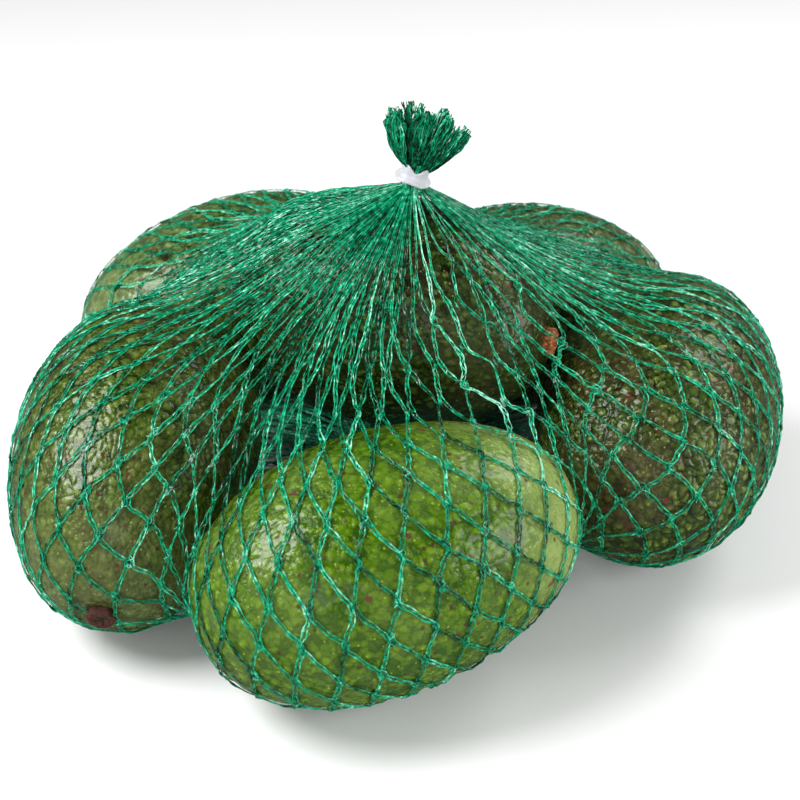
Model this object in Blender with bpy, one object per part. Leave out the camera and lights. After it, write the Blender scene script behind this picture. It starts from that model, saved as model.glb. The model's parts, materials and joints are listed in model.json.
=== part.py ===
"""Mesh produce bag: a knitted green net tube that holds six avocados, gathered and clipped at both ends.

The frame is metres, +Z up. The origin is on the table, at the middle of the bag's bounding box on plan.
"""

import math

import bmesh
import bpy
import numpy as np
from mathutils import Matrix, Vector

MM = 0.001  # the dimensions below are in millimetres

# Fruits: centre on plan, height of centre (None rests it on the floor of the net),
# heading and rise of the stem end in degrees, length, diameter.
FRUITS = {
    "front": dict(x=-5, y=-67, z=None, heading=24, rise=6, length=102, diameter=66),
    "left": dict(x=-73.5, y=-26, z=None, heading=264, rise=-22, length=96, diameter=66),
    "right": dict(x=71, y=0, z=None, heading=74, rise=9, length=97, diameter=68),
    "top": dict(x=-5, y=9, z=65, heading=-21, rise=-1, length=94, diameter=65),
    "back_left": dict(x=-54, y=69, z=None, heading=198, rise=-10, length=100, diameter=66),
    "back_right": dict(x=40, y=69, z=None, heading=24, rise=-12, length=94, diameter=64),
}
FRUIT_BED = 1.8  # lowest point of a resting fruit above the table
FRUIT_TAPER = 0.05  # how much slimmer the stem half is
FRUIT_BLUNT = 0.88  # below 1 fills out the ends of the profile
FRUIT_SIDES = 18
PROFILE_STEPS = 12

STONE_LENGTH = 34
STONE_DIAMETER = 29
STONE_SHIFT = -7  # along the fruit, away from the stem
CAVITY_GAP = 1.2  # between the stone and the flesh
STEM_GAP = 0.4
STONE_SIDES = 12
CANAL_RADIUS = 1.5
STEM_RADIUS = 4.0
STEM_THICKNESS = 2.2
STEM_SHOULDER = 0.7  # depth of the sloped edge of the stem's crown
STEM_CROWN_RADIUS = 2.4
STEM_SEAT_RADIUS = 4.5
STEM_SEAT_DEPTH = 1.6
SEAT_RIM = 1.0  # least width of the skin's last ring, round the seat
STEM_SIDES = 12

# Net: a tube of diamonds between a top ring and a bottom ring.
NET_COLUMNS = 28
NET_ROWS = 18
STRAND = 1.5
NET_GAP = 1.8  # between the middle of a strand and the fruit under it
NECK_X, NECK_Y = 1, 7  # both ends of the net are gathered on this upright line
NECK_RING_RADIUS = 8.5
NECK_RING_HEIGHT = 99.5
BASE_RING_RADIUS = 8.5
BASE_RING_HEIGHT = 19
HEART_HEIGHT = 45  # point inside the bag that the knots are spread around
WIDEST_REACH = 150
TRACE_STEPS = 30
LONG_END_ROWS = 0.25  # how much the rows near the rings are stretched
TIGHTEN_ROUNDS = 500
SETTLE_ROUNDS = 12
SAG_HEIGHT = 7  # strands lower than this lie on the table
STRAND_SAMPLES = (0.25, 0.5, 0.75)
STRAND_CROWDING = 0.45  # strand width as a share of the room between knots, at the crowded rings

# Closures: the gathered neck, the crimped clip and the cut tail beyond it.
CLOSURE_FLUTES = 10
ROOT_PLEAT, END_PLEAT = 0.1, 0.3  # pleat depth as a share of the bundle's radius
GATHER_GAP = 0.7  # between the ring of the net and the gather inside it
GATHER_HEIGHT = 5.2
GATHER_WAIST = 2.0
GATHER_FLARE = 2.4  # above 1 keeps the gather slim until near its foot
CLIP_LIFT = 1.5  # clear height between the gather and the clip
CLIP_BORE_RADIUS = 3.4
CLIP_WALL = 0.8
CLIP_LIP = 1.0  # how far the edge by the gather flares out
CLIP_LIP_HEIGHT = 0.5
CLIP_FLARE_HEIGHT = 1.4  # where the flare meets the straight wall
CLIP_HEIGHT = 4.2
CLIP_NOTCH = 1.3  # depth of the V in the edge by the tail
CLIP_NOTCH_REACH = 40  # degrees to either side of the V
CLIP_SIDES = 24
CLIP_LEAN = 18  # degrees, towards +X
TAIL_ROOT = 2.0  # how far the tail reaches into the clip
TAIL_ROOT_RADIUS = 2.1
TAIL_RAGGED = 0.16  # shares of the tail's height by which every second and every third pleat is cut short
TAIL_NIBBLED = 0.07
NECK_TAIL = dict(height=18, half_width=11.5, half_depth=6.5, skew=-2.5)
BASE_TAIL = dict(height=6.5, half_width=5.5, half_depth=4, skew=0)

COLOURS = {
    "net_green": (0.010, 0.260, 0.120),
    "clip_white": (0.86, 0.88, 0.88),
    "skin_bright": (0.230, 0.330, 0.040),
    "skin_olive": (0.120, 0.150, 0.035),
    "skin_dark": (0.045, 0.095, 0.025),
    "stone_brown": (0.190, 0.080, 0.030),
    "stem_brown": (0.300, 0.130, 0.060),
}
SKINS = {
    "front": "skin_bright",
    "left": "skin_dark",
    "right": "skin_olive",
    "top": "skin_dark",
    "back_left": "skin_olive",
    "back_right": "skin_olive",
}


def clear_scene():
    for obj in list(bpy.data.objects):
        bpy.data.objects.remove(obj, do_unlink=True)


def material(name, roughness, metallic=0.0):
    found = bpy.data.materials.get(name)
    if found:
        return found
    made = bpy.data.materials.new(name)
    made.use_nodes = True
    shader = made.node_tree.nodes["Principled BSDF"]
    shader.inputs["Base Color"].default_value = (*COLOURS[name], 1.0)
    shader.inputs["Roughness"].default_value = roughness
    shader.inputs["Metallic"].default_value = metallic
    return made


def object_from(name, mesh, finish, parent=None, smooth=True):
    """Puts a mesh in the scene as a named sub-part with its material."""
    if smooth:
        mesh.shade_smooth()
        mesh.set_sharp_from_angle(angle=math.radians(50))
    mesh.materials.append(finish)
    obj = bpy.data.objects.new(name, mesh)
    bpy.context.scene.collection.objects.link(obj)
    obj.parent = parent
    return obj


def empty(name, location, rotation):
    obj = bpy.data.objects.new(name, None)
    obj.location = location
    obj.rotation_mode = "QUATERNION"
    obj.rotation_quaternion = rotation
    obj.empty_display_size = 0.01
    bpy.context.scene.collection.objects.link(obj)
    return obj


def revolved_mesh(name, outline, sides):
    """A body of revolution about X from (x, radius) points in millimetres, on the axis at both ends."""
    bm = bmesh.new()
    points = [bm.verts.new((x * MM, 0.0, radius * MM)) for x, radius in outline]
    edges = [bm.edges.new(pair) for pair in zip(points, points[1:])]
    bmesh.ops.spin(
        bm,
        geom=points + edges,
        cent=(0, 0, 0),
        axis=(1, 0, 0),
        angle=math.tau,
        steps=sides,
        use_merge=True,
        use_duplicate=False,
    )
    bmesh.ops.remove_doubles(bm, verts=bm.verts, dist=1e-6)
    bmesh.ops.recalc_face_normals(bm, faces=bm.faces)
    mesh = bpy.data.meshes.new(name)
    bm.to_mesh(mesh)
    bm.free()
    return mesh


def fruit_profile(length, diameter, steps):
    """Points (x, radius) of the skin from the blossom end to the stem end."""
    angles = np.linspace(math.pi, 0.0, steps + 1)
    taper = 1.0 - FRUIT_TAPER * np.cos(angles)
    shape = np.sin(angles).clip(0.0) ** FRUIT_BLUNT * taper
    return np.column_stack([length / 2 * np.cos(angles), diameter / 2 * shape / shape.max()])


def fruit_direction(fruit):
    """Unit vector from the blossom end to the stem end."""
    heading, rise = math.radians(fruit["heading"]), math.radians(fruit["rise"])
    flat = math.cos(rise)
    return np.array([math.cos(heading) * flat, math.sin(heading) * flat, math.sin(rise)])


def fruit_centre(fruit):
    """Centre of the fruit in millimetres; a resting fruit is let down onto its bed."""
    height = fruit["z"]
    if height is None:
        outline = fruit_profile(fruit["length"], fruit["diameter"], 4 * PROFILE_STEPS)
        sine = fruit_direction(fruit)[2]
        cosine = math.sqrt(1.0 - sine**2)
        height = FRUIT_BED + float(np.max(outline[:, 1] * cosine - outline[:, 0] * sine))
    return np.array([fruit["x"], fruit["y"], height], float)


def skin_distance(points, fruit):
    """Signed distance of each point from the skin, and the unit direction away from the skin."""
    direction = fruit_direction(fruit)
    offset = points - fruit_centre(fruit)
    along = offset @ direction
    across = offset - along[:, None] * direction
    radius = np.maximum(np.linalg.norm(across, axis=1), 1e-6)
    outline = fruit_profile(fruit["length"], fruit["diameter"], 2 * PROFILE_STEPS)
    start, step = outline[:-1], np.diff(outline, axis=0)
    reach = np.column_stack([along, radius])[:, None] - start[None]
    share = ((reach * step).sum(2) / (step**2).sum(1)).clip(0.0, 1.0)
    gap = reach - share[..., None] * step
    length = np.linalg.norm(gap, axis=2)
    nearest = length.argmin(axis=1)
    rows = np.arange(len(points))
    gap, length = gap[rows, nearest], np.maximum(length[rows, nearest], 1e-6)
    skin_radius = np.interp(along, outline[:, 0], outline[:, 1], left=-1.0, right=-1.0)
    sign = np.where(radius < skin_radius, -1.0, 1.0)
    away = gap[:, :1] * direction + gap[:, 1:] * across / radius[:, None]
    return sign * length, away / length[:, None] * sign[:, None]


def net_strands():
    """Index pairs of the knots that the strands join. Knots are numbered row by row from the top ring."""
    pairs = []
    for row in range(NET_ROWS):
        for column in range(NET_COLUMNS):
            for side in (0, 1):
                below = (column + side - 1 + row % 2) % NET_COLUMNS
                pairs.append((row * NET_COLUMNS + column, (row + 1) * NET_COLUMNS + below))
    return np.array(pairs)


def knot_rays():
    """Unit direction of each knot from the heart of the bag, from the neck ring down to the base ring."""
    first = math.atan2(NECK_RING_RADIUS, NECK_RING_HEIGHT - HEART_HEIGHT)
    last = math.atan2(BASE_RING_RADIUS, BASE_RING_HEIGHT - HEART_HEIGHT)
    rays = []
    for row in range(NET_ROWS + 1):
        level = row / NET_ROWS
        level += LONG_END_ROWS * math.sin(math.tau * level) / math.tau
        slope = first + (last - first) * level
        for column in range(NET_COLUMNS):
            angle = math.tau * (column + 0.5 * (row % 2)) / NET_COLUMNS
            flat = math.sin(slope)
            rays.append((flat * math.cos(angle), flat * math.sin(angle), math.cos(slope)))
    return np.array(rays)


def reach_of_fruits(rays):
    """How far out along each ray the fruits keep the net: zero where the ray misses them all."""
    heart = np.array([NECK_X, NECK_Y, HEART_HEIGHT], float)
    reach = np.full(len(rays), WIDEST_REACH, float)
    for _ in range(TRACE_STEPS):
        points = heart + rays * reach[:, None]
        room = np.min([skin_distance(points, fruit)[0] for fruit in FRUITS.values()], axis=0)
        reach -= np.maximum(room - NET_GAP, 0.0)
    return np.maximum(reach, 0.0)


def pushed_off_fruits(knots, upper, lower):
    """The knots moved outwards, so that points along each strand stay NET_GAP clear of the fruits."""
    move = np.zeros_like(knots)
    weight = np.full((len(knots), 1), 1e-9)
    for share in STRAND_SAMPLES:
        points = knots[upper] * (1.0 - share) + knots[lower] * share
        for fruit in FRUITS.values():
            distance, away = skin_distance(points, fruit)
            short = np.maximum(NET_GAP - distance, 0.0)[:, None]
            for end, part in ((upper, 1.0 - share), (lower, share)):
                np.add.at(move, end, away * short * part)
                np.add.at(weight, end, (short > 0) * part)
    return knots + move / weight


def tight_knots():
    """The net drawn tight: each knot slides along its ray to between its neighbours, or to a fruit."""
    upper, lower = net_strands().T
    rays = knot_rays()
    heart = np.array([NECK_X, NECK_Y, HEART_HEIGHT], float)
    least = reach_of_fruits(rays)
    most = np.where(rays[:, 2] < 0, HEART_HEIGHT / np.maximum(-rays[:, 2], 1e-6), WIDEST_REACH)
    reach = np.minimum(most, WIDEST_REACH)
    reach[:NET_COLUMNS] = math.hypot(NECK_RING_RADIUS, NECK_RING_HEIGHT - HEART_HEIGHT)
    reach[-NET_COLUMNS:] = math.hypot(BASE_RING_RADIUS, BASE_RING_HEIGHT - HEART_HEIGHT)
    inner = slice(NET_COLUMNS, len(rays) - NET_COLUMNS)
    for _ in range(TIGHTEN_ROUNDS):
        knots = rays * reach[:, None]
        middle = np.zeros_like(knots)
        np.add.at(middle, upper, knots[lower] / 4.0)
        np.add.at(middle, lower, knots[upper] / 4.0)
        drawn = np.clip((middle * rays).sum(axis=1), least, most)
        reach[inner] = drawn[inner]
    knots = heart + rays * reach[:, None]
    for _ in range(SETTLE_ROUNDS):
        knots[inner] = pushed_off_fruits(knots, upper, lower)[inner]
        knots[:, 2] = np.where(knots[:, 2] < SAG_HEIGHT, 0.0, knots[:, 2])
    return knots


def net_faces():
    """One face for each opening of the net: diamonds, with a row of triangles at each ring."""
    def knot(row, column):
        return row * NET_COLUMNS + column % NET_COLUMNS

    faces = []
    for column in range(NET_COLUMNS):
        faces.append((knot(0, column), knot(1, column), knot(0, column + 1)))
        for row in range(1, NET_ROWS):
            middle = column + row % 2
            upper, lower = knot(row - 1, middle), knot(row + 1, middle)
            faces.append((upper, knot(row, column), lower, knot(row, column + 1)))
    return faces


def net_sleeve(finish):
    """The net as a lattice of strands. Where it lies on the table its strands are flat underneath."""
    knots = tight_knots()
    mesh = bpy.data.meshes.new("net_surface")
    mesh.from_pydata([tuple(knot * MM) for knot in knots], [], net_faces())
    surface = bpy.data.objects.new("net_surface", mesh)
    bpy.context.scene.collection.objects.link(surface)
    fineness = surface.vertex_groups.new(name="fineness")
    for index, knot in enumerate(knots):
        room = math.tau * math.hypot(knot[0] - NECK_X, knot[1] - NECK_Y) / NET_COLUMNS
        fineness.add([index], min(1.0, STRAND_CROWDING * room / STRAND), "REPLACE")
    wires = surface.modifiers.new("Strands", "WIREFRAME")
    wires.thickness = STRAND * MM
    wires.vertex_group = fineness.name
    wires.use_even_offset = False
    wires.use_boundary = True
    graph = bpy.context.evaluated_depsgraph_get()
    strands = bpy.data.meshes.new_from_object(surface.evaluated_get(graph))
    bpy.data.objects.remove(surface, do_unlink=True)
    for vertex in strands.vertices:
        vertex.co.z = max(vertex.co.z, 0.0)
    return object_from("net_sleeve", strands, finish, smooth=False)


def fluted_mesh(name, sections):
    """A pleated bundle along Z from (height, half width, half depth, pleat depth, shift in X) sections."""
    bm = bmesh.new()
    count = 2 * CLOSURE_FLUTES
    loops = []
    for height, half_width, half_depth, pleat, shift in sections:
        loop = []
        for index in range(count):
            angle = math.tau * index / count
            size = 1.0 - pleat * (index % 2)
            x = half_width * size * math.cos(angle) + shift
            loop.append(bm.verts.new((x * MM, half_depth * size * math.sin(angle) * MM, height * MM)))
        loops.append(loop)
    for lower, upper in zip(loops, loops[1:]):
        for index in range(count):
            after = (index + 1) % count
            bm.faces.new((lower[index], lower[after], upper[after], upper[index]))
    for loop, section in ((loops[0], sections[0]), (loops[-1], sections[-1])):
        hub = bm.verts.new((section[4] * MM, 0.0, section[0] * MM))
        for index in range(count):
            bm.faces.new((loop[index], loop[(index + 1) % count], hub))
    bmesh.ops.recalc_face_normals(bm, faces=bm.faces)
    mesh = bpy.data.meshes.new(name)
    bm.to_mesh(mesh)
    bm.free()
    return mesh


def gather_mesh(name):
    """The gathered neck: a trumpet from just inside the net's ring, at height 0, up to its waist."""
    foot = NECK_RING_RADIUS - GATHER_GAP
    sections = []
    for level in (0.0, 0.12, 0.35, 0.65, 1.0):
        radius = GATHER_WAIST + (foot - GATHER_WAIST) * (1.0 - level) ** GATHER_FLARE
        sections.append((GATHER_HEIGHT * level, radius, radius, ROOT_PLEAT, 0.0))
    return fluted_mesh(name, sections)


def tail_mesh(name, height, half_width, half_depth, skew):
    """The cut tail: a pleated fan that opens out of the clip, with a ragged end."""
    sections = [(-TAIL_ROOT, TAIL_ROOT_RADIUS, TAIL_ROOT_RADIUS, ROOT_PLEAT, 0.0)]
    for level in (0.0, 0.15, 0.4, 0.7, 1.0):
        spread = level**0.8
        width = TAIL_ROOT_RADIUS + (half_width - TAIL_ROOT_RADIUS) * spread
        depth = TAIL_ROOT_RADIUS + (half_depth - TAIL_ROOT_RADIUS) * spread
        pleat = ROOT_PLEAT + (END_PLEAT - ROOT_PLEAT) * level
        sections.append((height * level, width, depth, pleat, skew * level))
    mesh = fluted_mesh(name, sections)
    top = max(vertex.co.z for vertex in mesh.vertices)
    for index, vertex in enumerate(v for v in mesh.vertices if v.co.z > top - 0.1 * MM):
        vertex.co.z -= height * MM * (TAIL_RAGGED * (index % 2) + TAIL_NIBBLED * (index % 3))
    return mesh


def clip_mesh(name):
    """The crimped band: a ring with a flared lip at its foot and a V notch in front of its upper edge."""
    outside = CLIP_BORE_RADIUS + CLIP_WALL
    section = [
        (CLIP_BORE_RADIUS, 0.0),
        (outside + CLIP_LIP, 0.0),
        (outside + CLIP_LIP, CLIP_LIP_HEIGHT),
        (outside, CLIP_FLARE_HEIGHT),
        (outside, CLIP_HEIGHT),
        (CLIP_BORE_RADIUS, CLIP_HEIGHT),
    ]
    bm = bmesh.new()
    loops = []
    for side in range(CLIP_SIDES):
        angle = math.tau * side / CLIP_SIDES
        from_front = abs(math.remainder(angle + math.pi / 2, math.tau))
        notch = CLIP_NOTCH * max(0.0, 1.0 - from_front / math.radians(CLIP_NOTCH_REACH))
        loop = []
        for radius, height in section:
            drop = notch if height == CLIP_HEIGHT else 0.0
            place = (radius * math.cos(angle), radius * math.sin(angle), height - drop)
            loop.append(bm.verts.new(Vector(place) * MM))
        loops.append(loop)
    for side, loop in enumerate(loops):
        beside = loops[(side + 1) % CLIP_SIDES]
        for index in range(len(section)):
            after = (index + 1) % len(section)
            bm.faces.new((loop[index], beside[index], beside[after], loop[after]))
    bmesh.ops.recalc_face_normals(bm, faces=bm.faces)
    mesh = bpy.data.meshes.new(name)
    bm.to_mesh(mesh)
    bm.free()
    return mesh


def closure(end, foot_height, turn, lean, tail):
    """Gather, clip and tail at one end of the net. turn stands the closure up or hangs it upside down."""
    green, white = material("net_green", 0.35), material("clip_white", 0.4)
    foot = empty(f"{end}_foot", Vector((NECK_X, NECK_Y, foot_height)) * MM, turn)
    object_from(f"{end}_gather", gather_mesh(f"{end}_gather"), green, foot, smooth=False)
    tilt = Matrix.Rotation(math.radians(lean), 4, "Y").to_quaternion()
    hinge = empty(f"{end}_clip_hinge", (0, 0, (GATHER_HEIGHT + CLIP_LIFT) * MM), tilt)
    hinge.parent = foot
    object_from(f"{end}_clip", clip_mesh(f"{end}_clip"), white, hinge)
    bend = empty(f"{end}_tail_hinge", (0, 0, CLIP_HEIGHT * MM), Matrix().to_quaternion())
    bend.parent = hinge
    object_from(f"{end}_tail", tail_mesh(f"{end}_tail", **tail), green, bend, smooth=False)


def ellipse_points(centre, length, diameter, first, last, steps):
    """Points (x, radius) on an ellipse about the X axis, between two angles from +X."""
    angles = np.linspace(first, last, steps + 1)
    return [(centre + length / 2 * math.cos(a), max(0.0, diameter / 2 * math.sin(a))) for a in angles]


def avocado_outline(fruit):
    """Skin, stem seat, stem canal and stone cavity in one line, from the blossom end inwards."""
    skin = [(x, r) for x, r in fruit_profile(fruit["length"], fruit["diameter"], PROFILE_STEPS)]
    skin[0] = (skin[0][0], 0.0)
    skin = [point for point in skin if point[0] < 0 or point[1] > STEM_SEAT_RADIUS + SEAT_RIM]
    rim = stem_rim(fruit)
    seat = rim - STEM_SEAT_DEPTH
    cavity_length, cavity_diameter = STONE_LENGTH + 2 * CAVITY_GAP, STONE_DIAMETER + 2 * CAVITY_GAP
    mouth = math.asin(2 * CANAL_RADIUS / cavity_diameter)
    cavity = ellipse_points(STONE_SHIFT, cavity_length, cavity_diameter, mouth, math.pi, 6)
    stem_seat = [(rim, STEM_SEAT_RADIUS), (seat, STEM_SEAT_RADIUS), (seat, CANAL_RADIUS)]
    return skin + stem_seat + cavity


def stem_rim(fruit):
    """How far along the fruit its skin narrows to the stem seat."""
    outline = fruit_profile(fruit["length"], fruit["diameter"], 8 * PROFILE_STEPS)
    stem_half = outline[outline[:, 0] > 0][::-1]
    return float(np.interp(STEM_SEAT_RADIUS, stem_half[:, 1], stem_half[:, 0]))


def stem_outline(fruit):
    seat = stem_rim(fruit) - STEM_SEAT_DEPTH + STEM_GAP
    crown = seat + STEM_THICKNESS
    shoulder = (crown - STEM_SHOULDER, STEM_RADIUS)
    return [(seat, 0.0), (seat, STEM_RADIUS), shoulder, (crown, STEM_CROWN_RADIUS), (crown, 0.0)]


def avocado(place, fruit):
    """Flesh and skin, stone and stem button on one empty, whose X axis is the fruit's own long axis."""
    direction = Vector(fruit_direction(fruit))
    turn = direction.to_track_quat("X", "Z")
    core = empty(f"core_{place}", Vector(fruit_centre(fruit)) * MM, turn)
    skin_name = SKINS[place]
    flesh = revolved_mesh(f"avocado_{place}", avocado_outline(fruit), FRUIT_SIDES)
    object_from(f"avocado_{place}", flesh, material(skin_name, 0.35), core)
    stone_outline = ellipse_points(STONE_SHIFT, STONE_LENGTH, STONE_DIAMETER, 0.0, math.pi, 7)
    stone = revolved_mesh(f"stone_{place}", stone_outline, STONE_SIDES)
    object_from(f"stone_{place}", stone, material("stone_brown", 0.6), core)
    stem = revolved_mesh(f"stem_{place}", stem_outline(fruit), STEM_SIDES)
    object_from(f"stem_{place}", stem, material("stem_brown", 0.85), core)


def main():
    clear_scene()
    net_sleeve(material("net_green", 0.35))
    upright = Matrix().to_quaternion()
    inverted = Matrix.Rotation(math.pi, 4, "X").to_quaternion()
    closure("neck", NECK_RING_HEIGHT - GATHER_GAP, upright, CLIP_LEAN, NECK_TAIL)
    closure("base", BASE_RING_HEIGHT + GATHER_GAP, inverted, 0, BASE_TAIL)
    for place, fruit in FRUITS.items():
        avocado(place, fruit)


main()
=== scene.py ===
"""Looks of the mesh produce bag: six avocados in a knitted green net that is clipped at both ends.

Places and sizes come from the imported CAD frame. Lengths are in millimetres until a mesh is made.
"""

import json
import math

import bpy
import numpy as np
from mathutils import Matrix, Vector
from mathutils.kdtree import KDTree


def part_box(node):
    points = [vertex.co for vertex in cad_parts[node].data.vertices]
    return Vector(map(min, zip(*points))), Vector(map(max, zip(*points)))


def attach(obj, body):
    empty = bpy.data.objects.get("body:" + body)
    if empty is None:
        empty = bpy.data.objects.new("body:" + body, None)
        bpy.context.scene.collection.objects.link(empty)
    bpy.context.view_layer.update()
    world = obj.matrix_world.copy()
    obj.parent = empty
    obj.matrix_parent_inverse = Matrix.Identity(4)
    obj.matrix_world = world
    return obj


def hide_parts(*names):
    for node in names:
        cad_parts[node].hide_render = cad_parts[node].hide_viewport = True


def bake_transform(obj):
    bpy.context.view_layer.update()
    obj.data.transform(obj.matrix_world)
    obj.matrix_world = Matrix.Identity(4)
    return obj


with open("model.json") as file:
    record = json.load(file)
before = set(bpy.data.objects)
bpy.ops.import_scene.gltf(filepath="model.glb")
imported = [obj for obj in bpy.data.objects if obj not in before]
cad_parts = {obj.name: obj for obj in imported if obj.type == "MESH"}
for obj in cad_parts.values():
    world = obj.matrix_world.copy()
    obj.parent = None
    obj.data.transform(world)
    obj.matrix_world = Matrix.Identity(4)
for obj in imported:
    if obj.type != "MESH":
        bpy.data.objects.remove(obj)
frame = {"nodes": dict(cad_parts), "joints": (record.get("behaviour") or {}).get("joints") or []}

MM = 0.001
JOINTS = {joint["name"]: joint for joint in frame["joints"]}
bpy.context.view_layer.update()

# Fruit skin. The CAD flesh follows the same profile, which TAPER and BLUNT shape.
TAPER = 0.05
BLUNT = 0.88
PROFILE_STEPS = 48
SKIN_GRID = 126  # squares along each side of the cube that is blown up into a fruit
STEM_RADIUS = 4.0
DIMPLE_RADIUS = 6.0
DIMPLE_DEPTH = 1.5
LUMP_SIZE = 38.0  # the broad unevenness of a grown fruit
LUMP_DEPTH = 0.15
# Crease and valley colours are painted shade in the creases between the nodules; the valley colour
# also tints the random mottling.
FRUITS = {
    "front": dict(
        painted_crease_shade=(34, 70, 0), valley_shade_and_mottle=(54, 88, 0), skin=(72, 106, 4), crest=(96, 130, 16),
        pale=(144, 164, 90), dots=(158, 184, 56), paleness=0.85, mottle=0.22, blush=0.0,
        relief=0.30, nodule=2.0, scarce=0.30, fine=0.18, gloss=0.20, seed=11, slot="skin_bright",
    ),
    "left": dict(
        painted_crease_shade=(14, 28, 0), valley_shade_and_mottle=(32, 50, 8), skin=(64, 86, 24), crest=(100, 116, 50),
        pale=(116, 126, 72), dots=(148, 168, 82), paleness=0.3, mottle=0.5, blush=0.3, relief=0.38,
        nodule=2.0, scarce=0.12, fine=0.18, gloss=0.18, seed=12, slot="skin_dark",
    ),
    "right": dict(
        painted_crease_shade=(4, 8, 0), valley_shade_and_mottle=(14, 22, 4), skin=(46, 70, 12), crest=(102, 120, 40),
        pale=(116, 132, 74), dots=(150, 160, 70), paleness=0.5, mottle=0.5, blush=0.55, relief=0.58,
        nodule=2.4, scarce=0.05, fine=0.14, gloss=0.18, seed=13, slot="skin_olive",
    ),
    "top": dict(
        painted_crease_shade=(0, 5, 0), valley_shade_and_mottle=(2, 14, 0), skin=(26, 52, 8), crest=(78, 102, 36),
        pale=(80, 88, 48), dots=(120, 150, 70), paleness=0.3, mottle=0.5, blush=0.3, relief=0.54,
        nodule=2.2, scarce=0.05, fine=0.14, gloss=0.16, seed=14, slot="skin_dark",
    ),
    "back_left": dict(
        painted_crease_shade=(12, 36, 4), valley_shade_and_mottle=(28, 54, 12), skin=(76, 106, 46), crest=(110, 136, 76),
        pale=(130, 148, 96), dots=(160, 182, 96), paleness=0.5, mottle=0.4, blush=0.1, relief=0.36,
        nodule=2.2, scarce=0.15, fine=0.14, gloss=0.22, seed=15, slot="skin_olive",
    ),
    "back_right": dict(
        painted_crease_shade=(8, 26, 4), valley_shade_and_mottle=(24, 44, 12), skin=(68, 94, 40), crest=(104, 126, 70),
        pale=(116, 128, 82), dots=(150, 168, 92), paleness=0.4, mottle=0.4, blush=0.3, relief=0.46,
        nodule=2.3, scarce=0.10, fine=0.14, gloss=0.22, seed=16, slot="skin_olive",
    ),
}
BLUSH = (74, 50, 34)  # sRGB, as all colours here
RUB_BROWN = (94, 46, 44)
SPECK_BROWN = (76, 32, 26)

# Net: zigzag yarns, two for each column of diamonds, that run side by side where they meet.
COLUMNS = 72
ROWS = 22
ROW_STRETCH = 0.20  # how much longer than the mean the rows are at the neck and the base
STEPS_PER_ROW = 16
NET_PANELS = 8
HEART_HEIGHT = 45.0  # a point inside the bag that every part of the net can be seen from
SKIN_GAP = 0.2  # from the fruits to the surface that the net is laid on
WIDEST_REACH = 150.0
TABLE_ROOM = 0.4  # from the table to that surface
TRACE_STEPS = 40
NET_LEVELS = ((21, 36, 400), (42, 72, 300), (84, 144, 260))  # slopes, azimuths, rounds of tightening
HOOP_PULL = 0.45  # pull round the bag, as a share of the pull from neck to base
SURFACE_ROWS = 240
OPEN_TURN = -0.175  # middle of the sector where the net is spread widest, in turns from +X
OPEN_HALF_WIDTH = 0.105
OPENNESS = 0.66  # share of the yarns that are drawn out of that sector, near the neck
CLUMPING = 0.12  # unevenness of the other yarns
LEFT_PULL = 0.08  # share by which they favour the left of the bag
EVEN_LEVEL = 0.70  # how far down the net, from 0 to 1, the yarns have evened out
JOINT_SHARE = 0.12  # part of a row, at each end, where two yarns run side by side
JOINT_ROOM = 0.52  # from the middle of a joint to the middle of each of its yarns
JITTER_ROW, JITTER_COLUMN = 0.06, 0.055  # of the joints, in rows and in columns
HALF_YARN = 0.55  # half the width of the widest yarn
BEATS_PER_ROW = 2.2  # how often the middle filament crosses between the two outer ones
TAPE_HALF_WIDTH = 0.17
TAPE_HALF_THICKNESS = 0.06
# The first edge filament is lighter as a painted highlight; the crossing filament is darker.
STRAND_SHADE = 0.12  # how much a yarn's filaments differ in shade
LOOP_RADIUS = 0.10
WEB_HALF_THICKNESS = 0.04
YARN_GAP = 0.16  # least room between the middle of a filament and the skin
NEAR_SKIN = 3.0  # points further away than this are left alone
FLOOR_GAP = 0.05
BUNDLE_RADIUS = 2.6
BUNDLE_YARN_RADIUS = 0.26
BUNDLE_UP = (-0.3, -1.0, -0.2)  # up for the cross-sections of its yarns: no yarn runs this way

# Closures.
CLIP_BORE = 2.95
CLIP_WALL = 0.55
CLIP_FLARE = 1.25
CLIP_HEIGHT = 4.4
CLIP_NOTCH = 1.5
CLIP_NOTCH_REACH = math.radians(48)
TAIL_CLUMPS = 15
TAIL_OUTLINE = (0.88, 1.0, 1.03, 1.02, 0.98, 0.90, 0.90, 0.95, 0.88, 0.96, 0.96)  # of its tip
TAIL_TAPE_HALF_WIDTH = 0.13
TAILS = {
    "neck": dict(count=260, length=16.6, lean=math.radians(-6), spread=math.radians(47), depth=4.6),
    "base": dict(count=90, length=6.0, lean=0.0, spread=math.radians(38), depth=2.6),
}

YARN_SEED, JOINT_SEED, BUNDLE_SEED, TAIL_SEED = 7, 21, 3, 31

# Camera and stage.
CAMERA_TARGET = (-2.3, -5.0, 44.0)
CAMERA_ELEVATION = math.radians(31.5)
CAMERA_DISTANCE = 469.5
CAMERA_LENS = 75.8
FOCUS = (0.0, -46.0, 50.0)
F_STOP = 32.0
FLOOR_HALF_SIZE = 4000.0
# Painted shadow: the floor is darkened under the bag, where it shows between the fruits.
SHADE_MIDDLE = (-2.0, 42.0, 0.0)  # the floor is dark under the bag, as seen between the fruits
SHADE_REACH = (32.0, 60.0)  # radius of the darkest part, and where it ends
LAMP_AIM = (0.0, 0.0, 40.0)
LAMPS = (  # name, place, diameter, watts
    ("key", (-420, -120, 520), 360, 4.6),
    ("rim", (420, 260, 480), 320, 1.4),
    ("side", (620, -260, 240), 380, 2.0),
    ("front", (-60, -700, 330), 360, 0.6),
)


def linear(rgb):
    """Scene-linear colour of an 8-bit sRGB colour."""
    share = np.array(rgb, float) / 255.0
    return tuple(np.where(share <= 0.04045, share / 12.92, ((share + 0.055) / 1.055) ** 2.4))


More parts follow.
